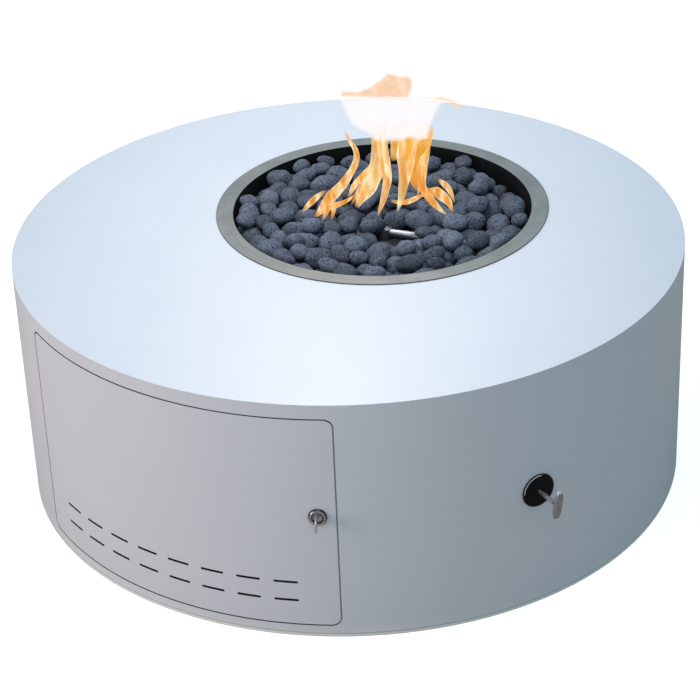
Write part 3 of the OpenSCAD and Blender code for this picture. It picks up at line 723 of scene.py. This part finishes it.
def makeValveKey():
    reach, low, sides = valveKey["reach"], valveKey["shaftLow"], valveKey["sides"]
    bpy.ops.mesh.primitive_cube_add(size=1, location=(0, 0, reach))
    handle = bpy.context.object
    handle.scale = (valveKey["handleLength"], valveKey["handleWidth"], valveKey["handleThick"])
    settle(handle)
    editAll(handle, (bpy.ops.mesh.subdivide, {"number_cuts": 5}))
    for vertex in handle.data.vertices:
        share = abs(vertex.co.x) / (valveKey["handleLength"] / 2)
        belly = 1 + (valveKey["bulge"] - 1) * math.cos(share * math.pi / 2)
        vertex.co.y *= belly - valveKey["endNarrow"] * share ** 7
        vertex.co.z = reach + (vertex.co.z - reach) * (1 - valveKey["endThin"] * share ** 4)
    addModifier(handle, "SUBSURF", levels=2, render_levels=2)
    bpy.ops.mesh.primitive_cylinder_add(vertices=sides, radius=valveKey["shaftRadius"],
                                        depth=reach - low, location=(0, 0, (reach + low) / 2))
    shaft = bpy.context.object
    settle(shaft)
    editAll(shaft, (bpy.ops.mesh.subdivide, {"number_cuts": 1}))
    easeEdges(shaft, 0.0005, 2, 40)
    bpy.ops.mesh.primitive_cone_add(
        vertices=sides, radius1=valveKey["shaftRadius"], radius2=valveKey["flareRadius"],
        depth=valveKey["flareDepth"], location=(0, 0, reach - valveKey["flareDown"]))
    flare = bpy.context.object
    settle(flare)
    easeEdges(flare, 0.0006, 3, 30)
    key = joinPieces([handle, shaft, flare], "valveKeyBody")
    key.data.transform(Matrix.Rotation(math.radians(valveKey["lean"]), 4, "Z"))
    turn = Matrix.Rotation(math.radians(valvePlace["turn"]), 4, "Z")
    tilt = Matrix.Rotation(math.pi / 2, 4, "Y")
    key.data.transform(Matrix.Translation(wallSpot(valvePlace)) @ turn @ tilt)
    smoothByAngle(key, 50)
    dress(key, finishes["castKey"])
    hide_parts("gas_key")
    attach(key, "gas_key")


makeValveKey()
print("stage: valve key")

# eased copies of the fittings that are seen close up

easing = {"merge": 0.000002, "flatTurn": 2, "segments": 2, "edgeTurn": 35, "smoothTurn": 40}


def softCopy(nodeName, pieceName, width):
    # a merged copy of a CAD node with its edges eased
    piece = addPiece(pieceName, cadNodes[nodeName].data.copy())
    editAll(piece,
            (bpy.ops.mesh.remove_doubles, {"threshold": easing["merge"]}),
            (bpy.ops.mesh.dissolve_limited, {"angle_limit": math.radians(easing["flatTurn"])}))
    easeEdges(piece, width, easing["segments"], easing["edgeTurn"])
    smoothByAngle(piece, easing["smoothTurn"])
    return piece


easedParts = [
    # node, piece, finish, slot, body, bevel width
    ("lock_barrel", "lockFaceRing", "lockChrome", "chrome", "door", 0.0005),
    ("door_key", "doorKeyBlade", "nickel", "nickel", "door_key", 0.00035),
    ("valve_cover_plate", "valvePlateDisc", "blackPlate", "black_plate", "drum", 0.0006),
]
for nodeName, pieceName, finishName, slotName, bodyName, width in easedParts:
    piece = softCopy(nodeName, pieceName, width)
    dress(piece, finishes[finishName])
    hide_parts(nodeName)
    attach(piece, bodyName)
print("stage: eased fittings")

# lava stones

bed = {
    "count": 215, "seed": 11, "kinds": 10, "smallest": 0.0180, "largest": 0.0290, "flatness": 0.76,
    # the lumps of a stone: how fine, and how high for a radius of 1
    "lumps": ((0.9, 0.20), (2.1, 0.085), (5.0, 0.022)),
    # the bed that they lie on, and the burner's tubes in it
    "panRadius": 0.2745, "bowlRadius": 0.276, "fillTop": 0.3967, "fillRise": 0.009, "flatRadius": 0.158,
    "ringRadius": 0.15, "tubeRadius": 0.008, "burnerHeight": 0.405, "barTurn": 11.0,
    # the fall
    "dropFrom": 0.42, "dropSpread": 0.16, "contact": 0.93, "lid": 0.4660,
    "steps": 260, "fastShare": 0.7, "fastDrop": 0.0012, "slowDrop": 0.0004, "rounds": 3,
    # the bare stretch of the cross tube
    "bareFrom": 0.000, "bareTo": 0.055, "bareTop": 0.412, "sight": 0.53, "slant": 0.40,
    # how each stone is turned, stretched and toned
    "buriedShare": 0.4, "longest": 1.26, "fatten": (1.04, 1.08, 1.10), "tip": 0.2,
    "wallFrom": 0.21, "wallSpin": 0.15, "tone": (0.48, 0.30),
}
barCos, barSin = math.cos(math.radians(bed["barTurn"])), math.sin(math.radians(bed["barTurn"]))


def makePebbleKinds(subdivisions):
    kinds = []
    for index in range(bed["kinds"]):
        bpy.ops.mesh.primitive_ico_sphere_add(subdivisions=subdivisions, radius=1, location=(0, 0, 0))
        pebble = bpy.context.object
        pebble.name = "pebbleKind"
        shift = Vector((index * 7.3, index * 3.1, index * 5.7))
        for vertex in pebble.data.vertices:
            away = vertex.co.normalized()
            lump = sum(noise.noise(away * fine + shift) * high for fine, high in bed["lumps"])
            vertex.co = away * (1 + lump)
        size = max(v.co.length for v in pebble.data.vertices)
        pebble.data.transform(Matrix.Scale(1 / size, 4))
        kinds.append(pebble)
    return kinds


def bedUnder(x, y, wide):
    # height of the bed, or of what carries a stone that lies across the burner's tubes
    radius = numpy.hypot(x, y)
    outer = bed["bowlRadius"] - bed["flatRadius"]
    slope = numpy.maximum(0, radius - bed["flatRadius"]) / outer
    base = bed["fillTop"] + bed["fillRise"] * slope
    across = y * barCos - x * barSin
    high = wide * bed["flatness"]
    for gap, within in ((radius - bed["ringRadius"], True), (across, radius < bed["ringRadius"])):
        near = (numpy.abs(gap) < wide) & within
        room = numpy.sqrt(numpy.maximum(0, (wide * 0.9 + bed["tubeRadius"]) ** 2 - gap ** 2)) * 0.9
        base = numpy.where(near, numpy.maximum(base, bed["burnerHeight"] - high + room), base)
    return base


def settleStones():
    # the stones fall into the pan, push each other aside and are levelled off below the rim
    chance = random.Random(bed["seed"])
    count, flat = bed["count"], bed["flatness"]
    spread = bed["largest"] - bed["smallest"]
    wide = numpy.array([bed["smallest"] + spread * chance.random() ** 1.5 for i in range(count)])
    spots = numpy.zeros((count, 3))
    for index in range(count):
        reach = (bed["panRadius"] - wide[index]) * math.sqrt(chance.random())
        around = chance.uniform(0, 2 * math.pi)
        high = (bed["dropFrom"] + bed["dropSpread"] * chance.random()) / flat
        spots[index] = (reach * math.cos(around), reach * math.sin(around), high)
    touch = (wide[:, None] + wide[None, :]) * bed["contact"]
    numpy.fill_diagonal(touch, 0)
    for step in range(bed["steps"]):
        fast = step < bed["steps"] * bed["fastShare"]
        spots[:, 2] -= bed["fastDrop"] if fast else bed["slowDrop"]
        for again in range(bed["rounds"]):
            apart = spots[:, None, :] - spots[None, :, :]
            far = numpy.sqrt((apart ** 2).sum(2)) + 1e-9
            press = numpy.maximum(0, touch - far) / far * 0.5
            pushes = numpy.maximum(1, (press > 0).sum(1) * 0.5)
            spots += (apart * press[:, :, None]).sum(1) / pushes[:, None]
            away = numpy.maximum(numpy.hypot(spots[:, 0], spots[:, 1]), 1e-6)
            spots[:, :2] *= numpy.minimum(1, (bed["panRadius"] - wide) / away)[:, None]
            spots[:, 2] = numpy.minimum(spots[:, 2], bed["lid"] / flat - wide)
            carried = bedUnder(spots[:, 0], spots[:, 1], wide) / flat + wide
            spots[:, 2] = numpy.maximum(spots[:, 2], carried)
    spots[:, 2] *= flat
    return [(*spot, half, half * flat) for spot, half in zip(spots.tolist(), wide.tolist())]


def hidesTube(x, y, height, wide, high):
    # a stretch of the cross tube stays bare, and so does the line of sight to it from the front
    ahead = x * barSin - y * barCos
    along = x * barCos + y * barSin - bed["slant"] * max(0, ahead)
    beside = bed["bareFrom"] - wide * 0.5 < along < bed["bareTo"] + wide * 0.5
    if ahead < -wide * 0.7 - bed["tubeRadius"] or not beside:
        return False
    return height + high > bed["bareTop"] + bed["sight"] * max(0, ahead - wide)


def makeStones():
    chance = random.Random(bed["seed"] + 1)
    fine, coarse = makePebbleKinds(3), makePebbleKinds(2)
    places = [place for place in settleStones() if not hidesTube(*place)]
    print("stones placed:", len(places))
    layers = {"lavaStonesLow": [], "lavaStonesTop": []}
    order = sorted(range(len(places)), key=lambda i: places[i][2])
    fatX, fatY, fatZ = bed["fatten"]
    for rank, index in enumerate(order):
        x, y, height, wide, high = places[index]
        buried = rank < len(order) * bed["buriedShare"]
        mesh = chance.choice(coarse if buried else fine).data.copy()
        long = chance.uniform(1.0, bed["longest"])
        size = Matrix.Diagonal((wide * long * fatX, wide / long * fatY, high * fatZ, 1))
        spin = chance.uniform(0, 2 * math.pi)
        if math.hypot(x, y) > bed["wallFrom"]:
            # a long stone by the wall lies along it
            spin = math.atan2(y, x) + math.pi / 2 + chance.gauss(0, bed["wallSpin"])
        tip = bed["tip"]
        turn = Euler((chance.gauss(0, tip), chance.gauss(0, tip), spin)).to_matrix().to_4x4()
        mesh.transform(Matrix.Translation(pit["panCentre"] + Vector((x, y, height))) @ turn @ size)
        tone = mesh.attributes.new("stoneTone", "FLOAT", "POINT")
        shade = min(1.0, max(0.0, chance.gauss(*bed["tone"])))
        tone.data.foreach_set("value", [shade] * len(mesh.vertices))
        layers["lavaStonesLow" if buried else "lavaStonesTop"].append(addPiece("stone", mesh))
    makeActive(fine[0])
    for kind in fine + coarse:
        kind.select_set(True)
    bpy.ops.object.delete()
    for name, stones in layers.items():
        layer = joinPieces(stones, name)
        smoothAll(layer)
        dress(layer, finishes["lavaStone"])
        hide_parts("lava_stones")
        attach(layer, "drum")


makeStones()
print("stage: lava stones")

# gas connector with its ribs

connector = {
    "radius": 0.0072, "rib": 0.0010, "pitch": 0.0045, "bendRadius": 0.048, "low": 0.2765,
    "level": 0.33, "inset": 0.046, "endBack": 0.106,
}


def makeConnector():
    start = wallSpot(valvePlace, connector["inset"])
    start.z = 0
    run = pit["panCentre"] - start
    ahead = run.normalized()
    bend, level = connector["bendRadius"], connector["level"]
    rise = level - bend - connector["low"]
    levelRun = run.length - connector["endBack"] - bend
    total = rise + bend * math.pi / 2 + levelRun

    def pointAt(s):
        if s < rise:
            return start + Vector((0, 0, connector["low"] + s))
        if s < rise + bend * math.pi / 2:
            a = (s - rise) / bend
            high = level - bend + bend * math.sin(a)
            return start + ahead * bend * (1 - math.cos(a)) + Vector((0, 0, high))
        return start + ahead * (bend + s - rise - bend * math.pi / 2) + Vector((0, 0, level))

    steps = int(total / connector["pitch"] * 2)
    curve, spline = startTube("connectorRoute", "POLY", 5)
    curve.use_fill_caps = True
    spline.points.add(steps)
    for i in range(steps + 1):
        spline.points[i].co = (*pointAt(total * i / steps), 1)
        rib = connector["rib"] if i % 2 and i < steps else 0
        spline.points[i].radius = connector["radius"] + rib
    hose = tubeToMesh("ribbedConnector", curve)
    smoothAll(hose)
    dress(hose, finishes["stainless"])
    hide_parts("gas_hose")
    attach(hose, "drum")


makeConnector()
print("stage: gas connector")

# flames, which are burning gas and not part of the object, so they ride on nothing

gasLook = {
    "stretch": (1, 1, 0.2), "streak": (0.46, 0.68), "cloudShare": 0.5, "cloud": (0.36, 0.62),
    "broken": (0.85, 0.25), "paleStreak": 0.9, "thin": (0.2, 0.8),
}


def flameMaterial(name, deep, body, rim, strength, cover, rimPower, streakScale):
    # burning gas is deep orange in places, and pale along its streaks and parts of its edges
    material, tree, nodes, links = startMaterial(name)
    nodes.remove(nodes["Principled BSDF"])
    stretch = nodes.new("ShaderNodeMapping")
    setInputs(stretch, Scale=gasLook["stretch"])
    links.new(nodes.new("ShaderNodeTexCoord").outputs["Object"], stretch.inputs["Vector"])
    along = stretch.outputs[0]
    streak = addRange(tree, addNoise(tree, along, streakScale, 3.0), *gasLook["streak"])
    broad = addNoise(tree, along, streakScale * gasLook["cloudShare"], 2.0)
    cloud = addRange(tree, broad, *gasLook["cloud"], 0.0, 1.0, True)
    broken = addMath(tree, "MULTIPLY_ADD", cloud, *gasLook["broken"])
    weight = nodes.new("ShaderNodeLayerWeight")
    setInputs(weight, Blend=0.5)
    edge = addMath(tree, "POWER", weight.outputs["Facing"], rimPower)
    grazing = multiply(tree, edge, broken)
    lines = multiply(tree, streak, broken)
    pale = addMath(tree, "MULTIPLY_ADD", lines, gasLook["paleStreak"], grazing, clamp=True)
    glow = nodes.new("ShaderNodeEmission")
    links.new(addMix(tree, pale, addMix(tree, cloud, deep, body), rim), glow.inputs["Color"])
    setInputs(glow, Strength=strength)
    thin = multiply(tree, addMath(tree, "MULTIPLY_ADD", streak, *gasLook["thin"]), cover)
    dense = addMath(tree, "MULTIPLY_ADD", grazing, 1 - cover, thin)
    alpha = addMath(tree, "MULTIPLY", dense, addAttribute(tree, "flameFade"), clamp=True)
    clear = nodes.new("ShaderNodeBsdfTransparent")
    blend = addMixShader(tree, alpha, clear.outputs[0], glow.outputs[0])
    links.new(blend, nodes["Material Output"].inputs["Surface"])
    return material


# each look: deep, body and edge colour, strength, cover, edge power and streak scale
flameColors = {
    "lick": ((0.90, 0.29, 0.015), (1.0, 0.50, 0.09), (1.0, 0.90, 0.58), 1.04, 0.90, 2.0, 120.0),
    "column": ((0.95, 0.36, 0.04), (1.0, 0.58, 0.15), (1.0, 0.92, 0.62), 1.02, 0.82, 2.0, 95.0),
    "sheet": ((0.88, 0.30, 0.012), (0.98, 0.43, 0.05), (1.0, 0.66, 0.18), 1.0, 0.90, 2.4, 60.0),
    "crown": ((1.0, 0.97, 0.99), (1.0, 0.985, 1.0), (1.0, 0.97, 0.985), 1.0, 0.97, 3.0, 16.0),
    "plume": ((0.92, 0.56, 0.31), (0.96, 0.66, 0.42), (0.99, 0.80, 0.62), 1.0, 0.93, 3.0, 40.0),
}
flameLooks = {key: flameMaterial("flame" + key.title(), *values) for key, values in flameColors.items()}

# each tongue: look, depth behind the pan's centre in metres, and points of frame x, frame y and half
# width, all three in pixels of the 700 by 700 frame
flameTongues = [
    ("lick", -0.06, [
        (316, 217, 1.2), (321, 210, 4.4), (329, 200, 5.8), (338, 190, 5.4), (346, 180, 4.4),
        (353, 170, 3.8), (357, 160, 3.2), (357, 152, 3), (353, 146, 2.4), (348, 140, 1.5),
        (344, 131, 0.4),
    ]),
    ("lick", -0.07, [(331, 220, 0.5), (333, 213, 2), (335, 206, 3.2), (333, 199, 3.5)]),
    ("lick", -0.07, [(322, 221, 0.5), (325, 214, 2.4), (328, 206, 3.6), (330, 200, 3)]),
    ("lick", -0.08, [
        (315, 216, 0.8), (324, 209, 2.6), (334, 206, 3), (343, 203, 2.4), (350, 199, 1.6),
        (355, 193, 0.4),
    ]),
    ("lick", -0.09, [
        (301, 213, 0.5), (306, 207, 2.4), (313, 200, 3.4), (320, 194, 2.2), (326, 190, 0.4),
    ]),
    ("column", -0.01, [
        (357, 207, 1.5), (361, 198, 5), (368, 188, 8.5), (373, 178, 9.5), (377, 167, 9),
        (379, 156, 8.4), (379, 146, 8), (379, 134, 8), (379, 122, 9),
    ]),
    ("lick", -0.02, [
        (348, 197, 0.8), (353, 187, 2.8), (361, 179, 4), (368, 172, 4.2), (373, 164, 3.4),
    ]),
    ("lick", -0.02, [(359, 208, 0.5), (361, 200, 2.2), (364, 192, 3.4), (368, 184, 3.6)]),
    ("lick", -0.03, [(351, 205, 0.5), (355, 197, 1.8), (360, 189, 2.8), (365, 182, 3)]),
    ("lick", -0.05, [
        (379, 216, 0.5), (382, 204, 2.8), (385, 192, 3.8), (387, 180, 4.6), (386, 168, 4.8),
        (384, 156, 5), (382, 144, 5.2), (381, 134, 5), (381, 124, 5),
    ]),
    ("column", 0.0, [
        (397, 211, 0.8), (401, 200, 3.4), (403, 187, 4.4), (405, 174, 6.4), (406, 162, 8.4),
        (406, 152, 9.4), (408, 144, 10), (410, 137, 11), (411, 131, 11),
    ]),
    ("sheet", 0.05, [(392, 160, 2), (397, 151, 8), (402, 144, 14), (405, 138, 18), (406, 131, 19)]),
    ("sheet", 0.06, [
        (417, 190, 1.5), (413, 177, 5), (413, 165, 8.4), (415, 155, 10.8), (419, 146, 11.8),
        (423, 138, 10.6), (424, 128, 10),
    ]),
    ("lick", -0.06, [
        (447, 215, 0.7), (437, 207, 2.8), (428, 198, 3.8), (422, 187, 3.8), (421, 175, 4.6),
        (423, 165, 5.4), (427, 156, 4), (431, 147, 0.4),
    ]),
    ("lick", -0.05, [(418, 196, 0.5), (420, 187, 2.2), (421, 178, 3)]),
    ("lick", -0.09, [
        (453, 213, 0.5), (449, 203, 3.4), (442, 195, 5.6), (436, 191, 5), (429, 192, 3.4),
        (424, 189, 1),
    ]),
    ("lick", -0.1, [
        (454, 203, 0.5), (452, 193, 2.2), (446, 185, 3.2), (440, 181, 2.2), (437, 178, 0.4),
    ]),
    ("lick", 0.02, [(391, 200, 1.2), (400, 203, 2.4), (410, 201, 2.8), (420, 197, 2), (427, 193, 0.6)]),
]

# each veil: look, depth, half thickness in metres, and the outline in pixels of that frame
flameVeils = [
    ("crown", -0.085, 0.03, [
        (338, 98), (344, 112), (350, 124), (358, 130), (368, 134), (374, 142), (400, 142), (409, 139),
        (417, 141), (428, 140), (433, 122), (440, 108), (447, 100), (420, 97), (390, 96), (360, 96),
    ]),
    ("plume", 0.04, 0.026, [
        (337, 99), (340, 87), (348, 89), (358, 89), (368, 85), (377, 79), (383, 74), (384, 66),
        (388, 71), (398, 73), (410, 74), (415, 80), (414, 90), (411, 97), (414, 101), (380, 101),
    ]),
    ("plume", 0.07, 0.01, [
        (406, 100), (412, 95), (428, 96), (441, 94), (452, 97), (462, 103), (468, 109), (456, 108),
        (444, 103), (428, 102),
    ]),
]

flameShape = {
    # metres from the camera, at which a tongue's half width is taken
    "distance": 4.1,
    # how far a tongue's ends fade, how ragged it is and how it sways
    "lowFade": 0.016, "tallFade": 0.024, "shortFade": 0.012, "ragged": 22,
    "swayScale": 30, "sway": 0.003,
    # in pixels: how far in a veil is full, how far its edge fades, and how wide its waves are
    "veilFull": 9, "veilFade": 5, "veilWave": 9, "veilRagged": 6, "veilSwing": 0.008,
}
focalPixels = cameraPlace["lens"] / cameraPlace["sensor"] * cameraPlace["frame"]


def frameRay(x, y):
    # direction from the camera through a point of the frame
    turn = Euler([math.radians(a) for a in cameraPlace["turn"]]).to_matrix()
    half = cameraPlace["frame"] / 2
    return (turn @ Vector(((x - half) / focalPixels, (half - y) / focalPixels, -1))).normalized()


def standOn(x, y, depth):
    # where that ray meets an upright plane that faces the camera, behind the pan's centre by depth
    origin = cameraPlace["location"]
    away = pit["panCentre"] - origin
    away.z = 0
    away.normalize()
    ray = frameRay(x, y)
    reach = ((pit["panCentre"] + away * depth) - origin).dot(away) / ray.dot(away)
    return origin + ray * reach


def finishFlame(flame, values, look):
    fade = flame.data.attributes.new("flameFade", "FLOAT", "POINT")
    fade.data.foreach_set("value", values)
    smoothAll(flame)
    dress(flame, flameLooks[look])
    flame.visible_shadow = flame.visible_glossy = flame.visible_diffuse = False


def makeTongue(name, look, depth, points):
    curve, spline = startTube("flameRoute", "NURBS", 6)
    curve.resolution_u = 6
    spline.points.add(len(points) - 1)
    spline.use_endpoint_u = True
    spline.order_u = 3
    for i, (x, y, half) in enumerate(points):
        spline.points[i].co = (*standOn(x, y, depth), 1)
        spline.points[i].radius = half * (flameShape["distance"] / focalPixels)
    tongue = tubeToMesh(name, curve)
    first, last = standOn(*points[0][:2], depth), standOn(*points[-1][:2], depth)
    highFade = flameShape["tallFade" if points[-1][2] > 1 else "shortFade"]
    values = []
    for vertex in tongue.data.vertices:
        low = min(1.0, (vertex.co - first).length / flameShape["lowFade"])
        high = min(1.0, (vertex.co - last).length / highFade)
        ragged = 0.86 + 0.3 * noise.noise(vertex.co * flameShape["ragged"])
        values.append(max(0.0, min(1.0, low * high * ragged)))
        spot = vertex.co * flameShape["swayScale"]
        sway = Vector((noise.noise(spot), noise.noise(spot + Vector((5, 0, 0))), 0))
        vertex.co += sway * flameShape["sway"]
    finishFlame(tongue, values, look)


def outlineDistance(x, y, outline):
    # distance to the outline in pixels, below zero outside it
    nearest, inside = 1e9, False
    for (ax, ay), (bx, by) in zip(outline, outline[1:] + outline[:1]):
        dx, dy = bx - ax, by - ay
        share = max(0.0, min(1.0, ((x - ax) * dx + (y - ay) * dy) / (dx * dx + dy * dy)))
        nearest = min(nearest, math.hypot(x - ax - dx * share, y - ay - dy * share))
        if (ay > y) != (by > y) and x < ax + dx * (y - ay) / dy:
            inside = not inside
    return nearest if inside else -nearest


def makeVeil(name, look, depth, thick, outline):
    # a soft pillow of gas over the outline, fading out towards its edge, with a point every half pixel
    left, right = min(p[0] for p in outline), max(p[0] for p in outline)
    top, bottom = min(p[1] for p in outline), max(p[1] for p in outline)
    columns, rows = (right - left) * 2 + 1, (bottom - top) * 2 + 1
    wave, tear = flameShape["veilWave"], flameShape["veilRagged"]
    corners, faces, values, index = [], [], [], {}
    square = ((0, 0), (1, 0), (1, 1), (0, 1))
    for side in (-1, 1):
        for row in range(rows):
            for column in range(columns):
                x, y = left + column / 2, top + row / 2
                edge = outlineDistance(x, y, outline)
                if edge < 0:
                    continue
                full = min(1.0, edge / flameShape["veilFull"])
                bulge = thick * math.sqrt(full * (2 - full)) * side
                swing = flameShape["veilSwing"] * noise.noise(Vector((x / wave, y / wave, 0)))
                index[side, row, column] = len(corners)
                corners.append(standOn(x, y, depth + bulge + swing))
                ragged = 0.9 + 0.3 * noise.noise(Vector((x / tear, y / tear, side)))
                values.append(max(0.0, min(1.0, edge / flameShape["veilFade"])) * ragged)
        for row in range(rows - 1):
            for column in range(columns - 1):
                loop = [(side, row + down, column + over) for down, over in square]
                if all(key in index for key in loop):
                    faces.append([index[key] for key in (loop if side < 0 else loop[::-1])])
    mesh = bpy.data.meshes.new(name)
    mesh.from_pydata(corners, [], faces)
    finishFlame(addPiece(name, mesh), values, look)


for number, (look, depth, points) in enumerate(flameTongues):
    makeTongue("flameTongue%02d" % number, look, depth, points)
for number, (look, depth, thick, outline) in enumerate(flameVeils):
    makeVeil("flameVeil%02d" % number, look, depth, thick, outline)
print("stage: flames")
